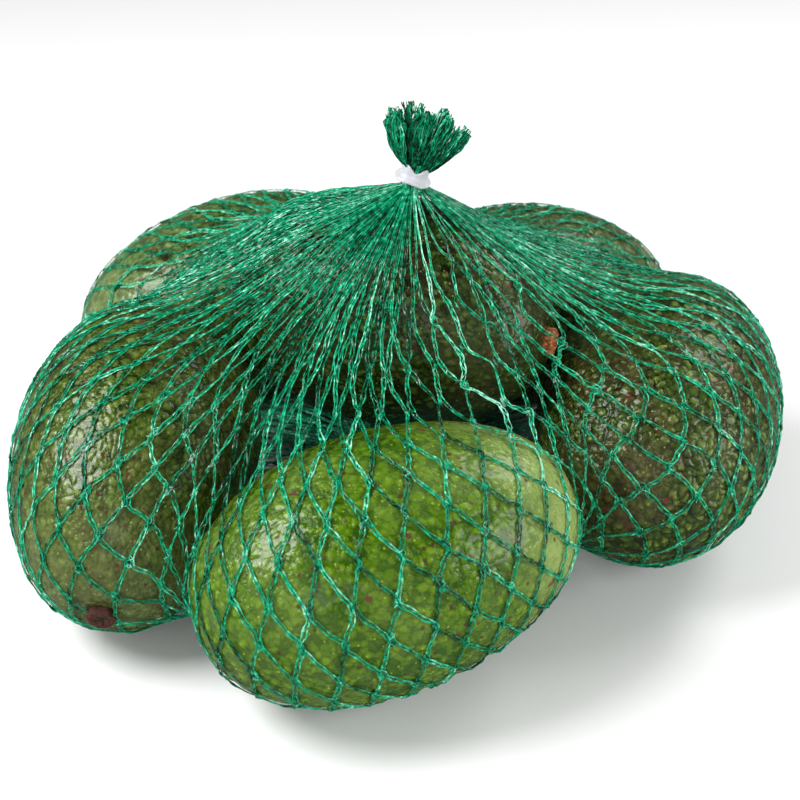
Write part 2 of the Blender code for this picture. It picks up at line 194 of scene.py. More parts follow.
def smooth(share):
    share = np.clip(share, 0.0, 1.0)
    return share * share * (3.0 - 2.0 * share)


def unit(vectors):
    return vectors / np.maximum(np.linalg.norm(vectors, axis=-1, keepdims=True), 1e-9)


def ripples(points, size, seed, count=14):
    """A smooth random field of about unit strength, with waves of about the given size."""
    rng = np.random.default_rng(seed)
    waves = unit(rng.normal(size=(count, 3))) * math.tau / size
    waves *= rng.uniform(0.7, 1.4, (count, 1))
    phases = rng.uniform(0.0, math.tau, count)
    return np.sin(points @ waves.T + phases).sum(axis=-1) * math.sqrt(2.0 / count)


def mesh_object(name, points, faces, finish, smooth_faces=True, **shades):
    """An object from points in millimetres, an array of quads, and named values per point."""
    mesh = bpy.data.meshes.new(name)
    mesh.vertices.add(len(points))
    mesh.vertices.foreach_set("co", (points * MM).astype(np.float32).ravel())
    mesh.loops.add(faces.size)
    mesh.loops.foreach_set("vertex_index", faces.astype(np.int32).ravel())
    mesh.polygons.add(len(faces))
    mesh.polygons.foreach_set("loop_start", np.arange(0, faces.size, faces.shape[1], dtype=np.int32))
    mesh.polygons.foreach_set("use_smooth", np.broadcast_to(smooth_faces, len(faces)).astype(bool))
    mesh.update(calc_edges=True)
    for key, values in shades.items():
        attribute = mesh.attributes.new(key, "FLOAT", "POINT")
        attribute.data.foreach_set("value", values.astype(np.float32))
    mesh.materials.append(finish)
    obj = bpy.data.objects.new(name, mesh)
    bpy.context.scene.collection.objects.link(obj)
    return obj


def tube_quads(index):
    """Quads of tubes, from point numbers of shape (..., rings, spokes)."""
    after = np.roll(index, -1, axis=-1)
    quads = [index[..., :-1, :], after[..., :-1, :], after[..., 1:, :], index[..., 1:, :]]
    return np.stack(quads, axis=-1).reshape(-1, 4)


def stand_in(node):
    """Hides the CAD node that a new object stands in for."""
    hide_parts(node)


def node_points(name):
    """Vertices of a CAD node."""
    vertices = frame["nodes"][name].data.vertices
    points = np.empty(len(vertices) * 3)
    vertices.foreach_get("co", points)
    return points.reshape(-1, 3) / MM


# Materials ------------


class Nodes:
    """A node tree under construction."""

    def __init__(self, tree):
        self.tree = tree

    def feed(self, socket, value):
        """Gives an input its value: a number, an sRGB triple or the output of another node."""
        if isinstance(value, bpy.types.NodeSocket):
            self.tree.links.new(value, socket)
        elif isinstance(value, tuple):
            socket.default_value = (*linear(value), 1.0)
        else:
            socket.default_value = value

    def add(self, kind, inputs=(), **settings):
        """A new node with the given settings, and values for its inputs."""
        node = self.tree.nodes.new(kind)
        for key, value in settings.items():
            setattr(node, key, value)
        for key, value in dict(inputs).items():
            self.feed(node.inputs[key], value)
        return node

    def math(self, operation, first, second):
        return self.add("ShaderNodeMath", {0: first, 1: second}, operation=operation).outputs[0]

    def ramp(self, source, low, high, out_low=0.0, out_high=1.0, kind="SMOOTHSTEP"):
        """The source, mapped from low..high to out_low..out_high and clamped."""
        ends = {"From Min": low, "From Max": high, "To Min": out_low, "To Max": out_high}
        node = self.add("ShaderNodeMapRange", {"Value": source, **ends}, interpolation_type=kind)
        return node.outputs["Result"]

    def dimmed(self, value, reflected_value):
        """A value, or a lower one where it is reflected, so that dark skins keep their colour."""
        reflected = self.add("ShaderNodeLightPath").outputs["Is Glossy Ray"]
        return self.ramp(reflected, 0.0, 1.0, value, reflected_value, kind="LINEAR")


class Finish(Nodes):
    """A material under construction, whose textures are laid out in millimetres."""

    def __init__(self, name):
        self.material = bpy.data.materials.new(name)
        self.material.use_nodes = True
        super().__init__(self.material.node_tree)
        self.shader = self.tree.nodes["Principled BSDF"]
        metres = self.add("ShaderNodeTexCoord").outputs["Object"]
        scale = self.add("ShaderNodeVectorMath", {0: metres, "Scale": 1.0 / MM}, operation="SCALE")
        self.place = scale.outputs[0]

    def noise(self, size, detail=2.0, roughness=0.5, distortion=0.0):
        """Noise between 0 and 1 with features of a size in millimetres."""
        look = {"Detail": detail, "Roughness": roughness, "Distortion": distortion}
        node = self.add("ShaderNodeTexNoise", {"Vector": self.place, "Scale": 1.0 / size, **look})
        return node.outputs["Fac"]

    def cells(self, size):
        """Distance to the nearest of scattered points, in cell sizes, and a colour per cell."""
        node = self.add("ShaderNodeTexVoronoi", {"Vector": self.place, "Scale": 1.0 / size})
        return node.outputs["Distance"], node.outputs["Color"]

    def spots(self, size, inner, outer, left_out, ragged=0.0):
        """A mask of scattered spots, with radii in cell sizes and a share of the cells left out."""
        distance, colour = self.cells(size)
        distance = self.math("ADD", distance, self.math("MULTIPLY", self.noise(0.8), ragged))
        chance = self.add("ShaderNodeSeparateColor", {0: colour}).outputs[0]
        kept = self.ramp(chance, left_out, left_out + 0.05)
        return self.math("MULTIPLY", self.ramp(distance, inner, outer, 1.0, 0.0), kept)

    def attribute(self, name):
        return self.add("ShaderNodeAttribute", attribute_name=name).outputs["Fac"]

    def mix(self, share, first, second):
        """A colour between two, each a socket or an sRGB triple."""
        return self.add("ShaderNodeMix", {0: share, 6: first, 7: second}, data_type="RGBA").outputs[2]

    def bump(self, height, depth, below=None):
        """A bump of a depth in millimetres, on top of another bump if one is given."""
        inputs = {"Height": height, "Distance": depth * MM}
        if below:
            inputs["Normal"] = below
        return self.add("ShaderNodeBump", inputs).outputs["Normal"]

    def set(self, **inputs):
        """Feeds inputs of the Principled BSDF. Underscores stand for spaces."""
        for key, value in inputs.items():
            self.feed(self.shader.inputs[key.replace("_", " ")], value)


def skin_finish(place, look):
    """Waxy avocado skin: green that varies over the fruit, painted shade in the creases, pale
    lenticels and brown rub marks.
    """
    skin = Finish(f"skin_{place}")
    relief = skin.attribute("relief")
    # Painted shade: the skin darkens from its own green towards the creases between the nodules,
    # where shade falls.
    creases = skin.mix(skin.ramp(relief, 0.0, 0.16), look["painted_crease_shade"], look["valley_shade_and_mottle"])
    painted_hollow_shade = skin.mix(skin.ramp(relief, 0.06, 0.36), creases, look["skin"])
    green = skin.mix(skin.ramp(relief, 0.42, 0.9), painted_hollow_shade, look["crest"])
    drifts = skin.math("MULTIPLY", skin.noise(14.0, detail=3.0), 0.5)
    stem_end = skin.math("ADD", skin.attribute("along"), drifts)
    green = skin.mix(skin.ramp(stem_end, 0.60, 1.05, 0.0, look["paleness"]), green, look["pale"])
    blushed = skin.ramp(skin.noise(17.0, detail=4.0, roughness=0.6), 0.46, 0.66, 0.0, look["blush"])
    green = skin.mix(blushed, green, BLUSH)
    patches = skin.ramp(skin.noise(22.0, detail=3.0), 0.38, 0.66)
    tint = skin.ramp(skin.noise(2.6, detail=4.0, roughness=0.65), 0.42, 0.66)
    for mask, share, colour in (
        (patches, 0.18, look["pale"]),
        (tint, look["mottle"], look["valley_shade_and_mottle"]),
        (skin.spots(1.9, 0.12, 0.19, 0.5), 0.55, look["dots"]),
        (skin.spots(7.5, 0.15, 0.22, 0.3, ragged=0.12), 0.8, RUB_BROWN),
        (skin.spots(3.6, 0.12, 0.21, 0.35), 0.8, SPECK_BROWN),
    ):
        green = skin.mix(skin.math("MULTIPLY", mask, share), green, colour)
    gloss = look["gloss"]
    roughness = skin.ramp(skin.noise(6.0, detail=3.0), 0.3, 0.7, gloss - 0.03, gloss + 0.14)
    pebble_distance, _ = skin.cells(1.25)
    pebbles = skin.bump(skin.ramp(pebble_distance, 0.0, 0.75, 1.0, 0.0), look["fine"])
    fine = skin.bump(skin.noise(0.55, detail=3.0), 0.13, pebbles)
    grain = skin.bump(skin.noise(1.9, detail=3.0, distortion=0.6), 0.46, fine)
    skin.set(
        Base_Color=green, Roughness=roughness, Normal=grain, Specular_IOR_Level=0.32,
        Specular_Tint=(235, 255, 205), Coat_Weight=0.40, Coat_Roughness=gloss - 0.10,
    )
    return skin.material


def net_finish():
    """Glossy green polyethylene yarn: the shade value runs from a deep green to a bright one, topped
    by a pale mint stage that is a painted highlight for glints.
    """
    net = Finish("net_green")
    shade = net.attribute("shade")
    # Painted highlight: noise streaks along the tapes push the shade up into glint-like dashes and
    # down again.
    painted_glint_streaks = net.math("MULTIPLY", net.noise(1.3, detail=2.0), 1.7)
    level = net.math("ADD", shade, net.math("SUBTRACT", painted_glint_streaks, 0.85))
    low = net.mix(net.ramp(level, 0.0, 0.45), (0, 50, 28), (0, 130, 88))
    high = net.mix(net.ramp(level, 0.42, 0.74), low, (14, 178, 130))
    # Painted highlight: the pale mint top stage stands for glints.
    green = net.mix(net.ramp(level, 0.74, 1.08), high, (164, 234, 208))
    fine = net.bump(net.noise(0.25, detail=2.0), 0.04)
    roughness = net.ramp(net.noise(0.9), 0.3, 0.7, 0.08, 0.24)
    net.set(Base_Color=green, Roughness=roughness, Normal=fine, IOR=1.5)
    return net.material


def clip_finish():
    """Milky white nylon."""
    clip = Finish("clip_white")
    cloud = clip.mix(clip.noise(1.8, detail=2.0), (172, 173, 179), (202, 203, 209))
    clip.set(Base_Color=cloud, Roughness=clip.ramp(clip.noise(1.2), 0.3, 0.7, 0.28, 0.45), IOR=1.5)
    clip.set(Subsurface_Weight=0.25, Subsurface_Scale=1.5 * MM)
    clip.set(Normal=clip.bump(clip.noise(0.7, detail=3.0), 0.05))
    return clip.material


def stem_finish(name, dark, light):
    """Dry woody stem scar."""
    stem = Finish(name)
    grain = stem.noise(0.9, detail=4.0, roughness=0.7)
    stem.set(Base_Color=stem.mix(stem.ramp(grain, 0.38, 0.62), dark, light))
    stem.set(Roughness=stem.ramp(grain, 0.3, 0.7, 0.65, 0.9), Normal=stem.bump(grain, 0.35))
    return stem.material


def stone_finish():
    """Smooth brown seed coat with darker veins."""
    stone = Finish("stone_coat")
    veins = stone.ramp(stone.noise(7.0, detail=5.0, roughness=0.65, distortion=1.2), 0.40, 0.62)
    stone.set(Base_Color=stone.mix(veins, (112, 66, 36), (150, 98, 58)))
    stone.set(Roughness=stone.ramp(veins, 0.0, 1.0, 0.4, 0.6), Normal=stone.bump(veins, 0.15))
    return stone.material


# Fruits ------------


def measure_fruit(place):
    """Adds the fruit's centre, axes, length and diameter, from its CAD flesh and its roll joint."""
    fruit = FRUITS[place]
    joint = JOINTS[f"roll_{place}"]
    fruit["centre"] = np.array(joint["pos_m"]) / MM
    fruit["axis"] = unit(np.array(joint["axis"], float))
    fruit["second"] = unit(np.cross(fruit["axis"], (0.0, 0.0, 1.0)))
    fruit["third"] = np.cross(fruit["axis"], fruit["second"])
    offset = node_points(f"avocado_{place}") - fruit["centre"]
    along = offset @ fruit["axis"]
    across = np.linalg.norm(offset - along[:, None] * fruit["axis"], axis=1)
    fruit["length"] = -2.0 * along.min()
    fruit["diameter"] = 2.0 * across.max()


def profile(angle, fruit):
    """(x, radius) of the skin at angles from the stem end, 0, to the blossom end, pi."""
    shape = np.sin(angle).clip(0.0) ** BLUNT * (1.0 - TAPER * np.cos(angle))
    return fruit["length"] / 2 * np.cos(angle), fruit["diameter"] / 2 * shape


def skin_distance(points, fruit):
    """Signed distance of each point from the skin, and the unit direction away from it."""
    offset = points - fruit["centre"]
    along = offset @ fruit["axis"]
    across = offset - along[:, None] * fruit["axis"]
    radius = np.maximum(np.linalg.norm(across, axis=1), 1e-6)
    x, r = profile(np.linspace(math.pi, 0.0, PROFILE_STEPS + 1), fruit)
    start_x, start_r, step_x, step_r = x[:-1], r[:-1], np.diff(x), np.diff(r)
    reach_x, reach_r = along[:, None] - start_x, radius[:, None] - start_r
    share = ((reach_x * step_x + reach_r * step_r) / (step_x**2 + step_r**2)).clip(0.0, 1.0)
    gap_x, gap_r = reach_x - share * step_x, reach_r - share * step_r
    length = np.hypot(gap_x, gap_r)
    nearest = length.argmin(axis=1)[:, None]
    gap_x, gap_r, length = (np.take_along_axis(a, nearest, 1) for a in (gap_x, gap_r, length))
    skin_radius = np.interp(along, x, r, left=-1.0, right=-1.0)
    sign = np.where(radius < skin_radius, -1.0, 1.0)
    away = gap_x * fruit["axis"] + gap_r * across / radius[:, None]
    return sign * length[:, 0], away / np.maximum(length, 1e-6) * sign[:, None]


def cube_ball(count):
    """Unit directions spread evenly over a ball, as the grid of a blown-up cube, and its quads."""
    line = np.tan(np.linspace(-math.pi / 4, math.pi / 4, count + 1))
    u, v = np.meshgrid(line, line, indexing="ij")
    one = np.ones_like(u)
    sides = [
        np.stack(axes, axis=-1).reshape(-1, 3)
        for axes in ((one, u, v), (-one, v, u), (v, one, u), (u, -one, v), (u, v, one), (v, u, -one))
    ]
    points = unit(np.concatenate(sides))
    corner = np.arange(count)[:, None] * (count + 1) + np.arange(count)
    quads = np.stack([corner, corner + count + 1, corner + count + 2, corner + 1], axis=-1)
    quads = quads.reshape(-1, 4)
    quads = np.concatenate([quads + side * (count + 1) ** 2 for side in range(6)])
    _, first, index = np.unique(np.round(points, 6), axis=0, return_index=True, return_inverse=True)
    return points[first], index.reshape(-1)[quads]


def on_skin(directions, fruit):
    """Points and normals of the smooth skin, in directions of a ball whose X axis is the fruit's."""
    angle = np.arccos(directions[:, 0].clip(-1.0, 1.0))
    x, radius = profile(angle, fruit)
    before, after = profile(angle - 1e-3, fruit), profile(angle + 1e-3, fruit)
    slope_x, slope_r = after[0] - before[0], after[1] - before[1]
    round_axis = unit(directions[:, 1:2] * fruit["second"] + directions[:, 2:3] * fruit["third"])
    points = fruit["centre"] + x[:, None] * fruit["axis"] + radius[:, None] * round_axis
    return points, unit(slope_r[:, None] * fruit["axis"] - slope_x[:, None] * round_axis)


def nodules(points, fruit):
    """Height from 0 to 1 of the skin's pebbling: rounded cells with creases between them."""
    rng = np.random.default_rng(fruit["seed"])
    area = math.pi * fruit["length"] * fruit["diameter"] * 0.85
    count = int(area / (0.87 * fruit["nodule"] ** 2))
    index = np.arange(count) + 0.5
    height = 1.0 - 2.0 * index / count
    turn = math.pi * (1.0 + math.sqrt(5.0)) * index
    flat = np.sqrt(1.0 - height**2)
    middles, _ = on_skin(np.column_stack([height, flat * np.cos(turn), flat * np.sin(turn)]), fruit)
    middles += rng.normal(scale=0.24 * fruit["nodule"], size=middles.shape)
    crests = rng.uniform(0.45, 1.0, count)
    crests[rng.random(count) < fruit["scarce"]] = 0.12
    tree = KDTree(count)
    for number, middle in enumerate(middles):
        tree.insert(middle, number)
    tree.balance()
    sway = np.column_stack([ripples(points, 5.0, fruit["seed"] + extra) for extra in (100, 200, 300)])
    near = [tree.find_n(point, 2) for point in points + 0.16 * fruit["nodule"] * sway]
    nearest = np.array([found[0][1] for found in near])
    first = np.array([found[0][2] for found in near])
    second = np.array([found[1][2] for found in near])
    rise = ((second - first) / (0.55 * fruit["nodule"])).clip(0.0, 1.0)
    dome = (1.0 - (first / (0.85 * fruit["nodule"])) ** 2).clip(0.0, 1.0)
    return crests[nearest] * (0.5 * (1.0 - (1.0 - rise) ** 2) + 0.5 * dome * np.sqrt(rise))


def avocado(place, ball, quads):
    """The skin of one fruit: the CAD profile, pebbled and uneven, with a dimple for the stem."""
    fruit = FRUITS[place]
    smooth_points, normals = on_skin(ball, fruit)
    relief = nodules(smooth_points, fruit)
    stem_end = fruit["centre"] + fruit["axis"] * fruit["length"] / 2
    dimple = np.exp(-((np.linalg.norm(smooth_points - stem_end, axis=1) / DIMPLE_RADIUS) ** 2))
    lumps = ripples(smooth_points, LUMP_SIZE, fruit["seed"]).clip(-2.0, 2.0)
    lumps = LUMP_DEPTH * (lumps - 2.0) / 2.0
    swell = fruit["relief"] * (1.0 - 0.4 * ball[:, 0])
    sink = swell * (relief * (1.0 - dimple) - 0.8) + lumps - DIMPLE_DEPTH * dimple
    points = smooth_points + normals * sink[:, None]
    shades = {"relief": relief, "along": ball[:, 0]}
    skin = mesh_object(f"avocado_skin_{place}", points, quads, skin_finish(place, fruit), **shades)
    stand_in(f"avocado_{place}")
    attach(skin, f"avocado_{place}")


def stem_button(place, finish):
    """The dry stem scar: a ridged, cracked disc in the dimple at the end of the fruit."""
    fruit = FRUITS[place]
    rng = np.random.default_rng(fruit["seed"] + 50)
    rings, spokes = 18, 56
    turns = np.arange(spokes) * math.tau / spokes
    wobble = 1.0 + 0.05 * np.sin(3 * turns + rng.uniform(0, 6))
    wobble = wobble + 0.03 * np.sin(7 * turns + rng.uniform(0, 6))
    loops = []
    for ring in range(rings + 1):
        share = ring / rings
        inward = np.clip(share * 1.6 - 0.6, 0.0, 1.0)
        radius = STEM_RADIUS * 0.97 * wobble * np.sqrt(1.0 - inward**1.6)
        if ring == rings:
            radius = 0.04 * np.ones(spokes)
        rise = 1.9 * smooth(share * 2.6) + 0.5 * smooth(inward * 2.0)
        rise = rise - 0.7 * smooth(inward * 3.0 - 2.0)
        cracks = np.sin(11 * turns + 5 * share) * np.sin(23 * turns - 9 * share)
        rough = 0.16 * cracks * smooth(share * 3.0)
        loops.append(np.column_stack([radius * np.cos(turns), radius * np.sin(turns), rise + rough]))
    local = np.concatenate(loops)
    index = np.arange((rings + 1) * spokes).reshape(rings + 1, spokes)
    ends = index[0, ::-1], index[-1]
    fans = [end[[0, i, i + 1, i + 2]] for end in ends for i in range(1, spokes - 2, 2)]
    quads = np.concatenate([tube_quads(index), fans])
    foot = ((node_points(f"stem_{place}") - fruit["centre"]) @ fruit["axis"]).min()
    points = fruit["centre"] + (foot + local[:, 2:3]) * fruit["axis"]
    points = points + local[:, 0:1] * fruit["second"] + local[:, 1:2] * fruit["third"]
    button = mesh_object(f"stem_button_{place}", points, quads, finish)
    stand_in(f"stem_{place}")
    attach(button, f"avocado_{place}")


# Net ------------


NECK = np.array(JOINTS["clip_tilt"]["pos_m"]) / MM
HEART = np.array([NECK[0], NECK[1], HEART_HEIGHT])
NECK_END = np.array([BUNDLE_RADIUS * 0.85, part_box("neck_gather")[1].z / MM - 0.4])
BASE_END = np.array([BUNDLE_RADIUS * 0.85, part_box("base_gather")[0].z / MM + 0.4])


def slope_of(end):
    """Angle from straight up, at the heart, of a ring given by its radius and height."""
    return math.atan2(end[0], end[1] - HEART_HEIGHT)


def rays_of(slopes, azimuths):
    slope = np.linspace(slope_of(NECK_END), slope_of(BASE_END), slopes)[:, None]
    turn = np.arange(azimuths)[None] * math.tau / azimuths
    flat = np.sin(slope)
    return np.stack([flat * np.cos(turn), flat * np.sin(turn), np.cos(slope) + 0.0 * turn], axis=-1)


def reach_of_fruits(rays):
    """How far out along each ray the fruits keep the net: zero where the ray misses them all."""
    flat = rays.reshape(-1, 3)
    reach = np.full(len(flat), WIDEST_REACH)
    for _ in range(TRACE_STEPS):
        points = HEART + flat * reach[:, None]
        room = np.min([skin_distance(points, fruit)[0] for fruit in FRUITS.values()], axis=0)
        reach = reach - np.maximum(room - SKIN_GAP, 0.0)
    return np.maximum(reach, 0.0).reshape(rays.shape[:2])


def resized(grid, slopes, azimuths):
    """A grid of values over slope and azimuth, brought to another resolution."""
    rows = np.linspace(0.0, 1.0, grid.shape[0])
    finer = np.array([np.interp(np.linspace(0.0, 1.0, slopes), rows, column) for column in grid.T]).T
    turns, coarse = np.arange(azimuths) / azimuths, np.arange(grid.shape[1]) / grid.shape[1]
    return np.array([np.interp(turns, coarse, row, period=1.0) for row in finer])


def tightened(reach, rays, least, most, rounds):
    """Slides every point of the net along its ray until the pulls of its neighbours balance."""
    slopes = len(rays)
    crowd = np.sin(np.linspace(0.0, math.pi, slopes))[1:-1, None] ** 0.7
    for _ in range(rounds):
        points = rays * reach[..., None]
        down = 1.0 / np.linalg.norm(points[1:] - points[:-1], axis=-1)
        beside = np.roll(points, -1, axis=1)
        width = np.maximum(np.linalg.norm(beside - points, axis=-1), 1e-3)
        hoop = 1.0 / width[1:-1] * HOOP_PULL * crowd
        before, hoop_before = np.roll(points, 1, axis=1), np.roll(hoop, 1, axis=1)
        pull = down[:-1, :, None] * points[:-2] + down[1:, :, None] * points[2:]
        pull += hoop[..., None] * beside[1:-1] + hoop_before[..., None] * before[1:-1]
        middle = (pull * rays[1:-1]).sum(axis=-1) / (down[:-1] + down[1:] + hoop + hoop_before)
        reach = reach.copy()
        reach[1:-1] = np.clip(middle, least[1:-1], most[1:-1])
    return reach


def drawn_surface():
    """The surface that the net lies on, as points evenly spaced from neck to base."""
    reach = None
    for slopes, azimuths, rounds in NET_LEVELS:
        rays = rays_of(slopes, azimuths)
        fall = np.maximum(-rays[..., 2], 1e-6)
        most = np.minimum((HEART_HEIGHT - TABLE_ROOM) / fall, WIDEST_REACH)
        least = np.minimum(reach_of_fruits(rays), most)
        if reach is None:
            reach = most.copy()
        else:
            reach = np.clip(resized(reach, slopes, azimuths), least, most)
        reach[0] = math.hypot(NECK_END[0], NECK_END[1] - HEART_HEIGHT)
        reach[-1] = math.hypot(BASE_END[0], BASE_END[1] - HEART_HEIGHT)
        reach = tightened(reach, rays, least, most, rounds)
    points = HEART + rays * reach[..., None]
    travelled = np.cumsum(np.linalg.norm(np.diff(points, axis=0), axis=-1), axis=0)
    travelled = np.concatenate([np.zeros((1, azimuths)), travelled])
    even = np.empty((SURFACE_ROWS, azimuths, 3))
    for column in range(azimuths):
        stops = np.linspace(0.0, travelled[-1, column], SURFACE_ROWS)
        for axis in range(3):
            even[:, column, axis] = np.interp(stops, travelled[:, column], points[:, column, axis])
    return even


def normals_of(surface):
    down = np.gradient(surface, axis=0)
    beside = (np.roll(surface, -1, axis=1) - np.roll(surface, 1, axis=1)) / 2.0
    return unit(np.cross(down, beside))


def sample(grid, level, turn):
    """Looks up a surface grid at levels, and at turns round the bag."""
    row = np.clip(level, 0.0, 1.0) * (len(grid) - 1)
    upper = np.minimum(row.astype(int), len(grid) - 2)
    column = (turn % 1.0) * grid.shape[1]
    first = column.astype(int) % grid.shape[1]
    second = (first + 1) % grid.shape[1]
    down, side = (row - upper)[..., None], (column - np.floor(column))[..., None]
    above = grid[upper, first] * (1.0 - side) + grid[upper, second] * side
    below = grid[upper + 1, first] * (1.0 - side) + grid[upper + 1, second] * side
    return above * (1.0 - down) + below * down


def level_of(rows):
    """Level, from 0 at the neck to 1 at the base, of a number of rows down from the neck."""
    share = rows / ROWS
    return share + ROW_STRETCH * np.sin(math.tau * share) / math.tau


def crowding_table():
    """Shift of the yarns, in turns, by level and by turn, counted from opposite the open sector."""
    turn = np.linspace(0.0, 1.0, 721)
    opening = OPENNESS * np.exp(-(((turn - 0.5) / OPEN_HALF_WIDTH) ** 4))
    clumps = CLUMPING * (np.sin(math.tau * 9 * turn) + np.sin(math.tau * 14 * turn + 2.0))
    pulled = LEFT_PULL * np.cos(math.tau * (turn + OPEN_TURN))
    shifts = []
    for level in np.linspace(0.0, 1.0, 41):
        fade = 1.0 - smooth((level - 0.05) / (EVEN_LEVEL - 0.05))
        density = np.maximum(1.0 - fade * (opening + clumps - pulled), 0.18)
        passed = np.concatenate([[0.0], np.cumsum((density[1:] + density[:-1]) / 2.0)])
        shifts.append(np.interp(turn, passed / passed[-1], turn) - turn)
    return np.array(shifts)[:, :-1, None]


CROWDING = crowding_table()


def crowded(turn, level):
    """Turns round the bag of yarns that would be evenly spread but for the open sector."""
    turn, level = np.broadcast_arrays(turn, level)
    return turn + sample(CROWDING, level, turn - OPEN_TURN + 0.5)[..., 0]


def rods(corners):
    """Points and quads of closed four-sided rods, from corners of shape (rods, samples, 4, 3)."""
    count, samples = corners.shape[:2]
    index = np.arange(count * samples * 4).reshape(count, samples, 4)
    caps = np.concatenate([index[:, 0, ::-1], index[:, -1]])
    return corners.reshape(-1, 3), np.concatenate([tube_quads(index), caps])


def round_rods(centres, side, lift, radius):
    """Corners of rods with a round-looking section."""
    a, b = side * radius, lift * radius
    return np.stack([centres + a, centres + b, centres - a, centres - b], axis=2)


def flat_rods(centres, side, lift, half_width, half_thickness):
    """Corners of flat ribbons."""
    a, b = side * half_width, lift * half_thickness
    return np.stack([centres + a + b, centres - a + b, centres - a - b, centres + a - b], axis=2)


def assembled(name, parts, finish):
    """One object of groups of rods: each is (corners, shade per rod and sample, smooth or not)."""
    points, faces, shades, smoothness, start = [], [], [], [], 0
    for corners, shade, is_smooth in parts:
        part_points, part_faces = rods(corners)
        points.append(part_points)
        faces.append(part_faces + start)
        shades.append(np.repeat(np.broadcast_to(shade, corners.shape[:2]).reshape(-1), 4))
        smoothness.append(np.full(len(part_faces), is_smooth))
        start += len(part_points)
    return mesh_object(
        name, np.concatenate(points), np.concatenate(faces), finish, np.concatenate(smoothness),
        shade=np.concatenate(shades),
    )


def section_axes(lines, up):
    """Sideways and upward axes of the lines' cross-sections, given about which way is up."""
    heading = unit(np.gradient(lines, axis=1))
    side = unit(np.cross(up, heading))
    return side, np.cross(heading, side)


def turned(side, lift, angle):
    """A pair of cross-section axes turned about the rod."""
    c, s = np.cos(angle)[..., None], np.sin(angle)[..., None]
    return c * side + s * lift, c * lift - s * side


def knitted(centre, side, lift, half_width, beat):
    """Centre lines of the three filaments of a yarn: two edges, and one that crosses between them."""
    swing = 2.0 / math.pi * np.arcsin(np.sin(beat))
    first = 0.80 + 0.20 * np.cos(beat)
    second = 0.80 + 0.20 * np.cos(beat + 2.2)
    wave, second_wave = 0.07 * np.sin(beat), 0.07 * np.sin(beat + 1.0)
    return [
        centre + side * (half_width * first)[..., None] + lift * wave[..., None],
        centre - side * (half_width * second)[..., None] - lift * second_wave[..., None],
        centre + side * (half_width * 0.9 * swing)[..., None] + lift * 0.08,
    ]


def tapes(lines, lift, twist, half_width, shade):
    """Flat filaments along the lines, turned about their length by the twist."""
    side, lift = turned(*section_axes(lines, lift), twist)
    return flat_rods(lines, side, lift, half_width, TAPE_HALF_THICKNESS), shade, False


def off_fruits(points):
    """Points moved out of the fruits' skins and off the table."""
    flat = points.reshape(-1, 3).copy()
    for fruit in FRUITS.values():
        near = np.linalg.norm(flat - fruit["centre"], axis=1) < fruit["length"] / 2 + NEAR_SKIN
        distance, away = skin_distance(flat[near], fruit)
        flat[near] += away * np.maximum(YARN_GAP - distance, 0.0)[:, None]
    flat[:, 2] = np.maximum(flat[:, 2], TAPE_HALF_WIDTH + FLOOR_GAP)
    return flat.reshape(points.shape)


def bundle_place(yarns):
    """How far from the middle of the gathered neck each yarn lies."""
    return BUNDLE_RADIUS * np.sqrt(np.random.default_rng(BUNDLE_SEED).uniform(0.02, 1.0, yarns))


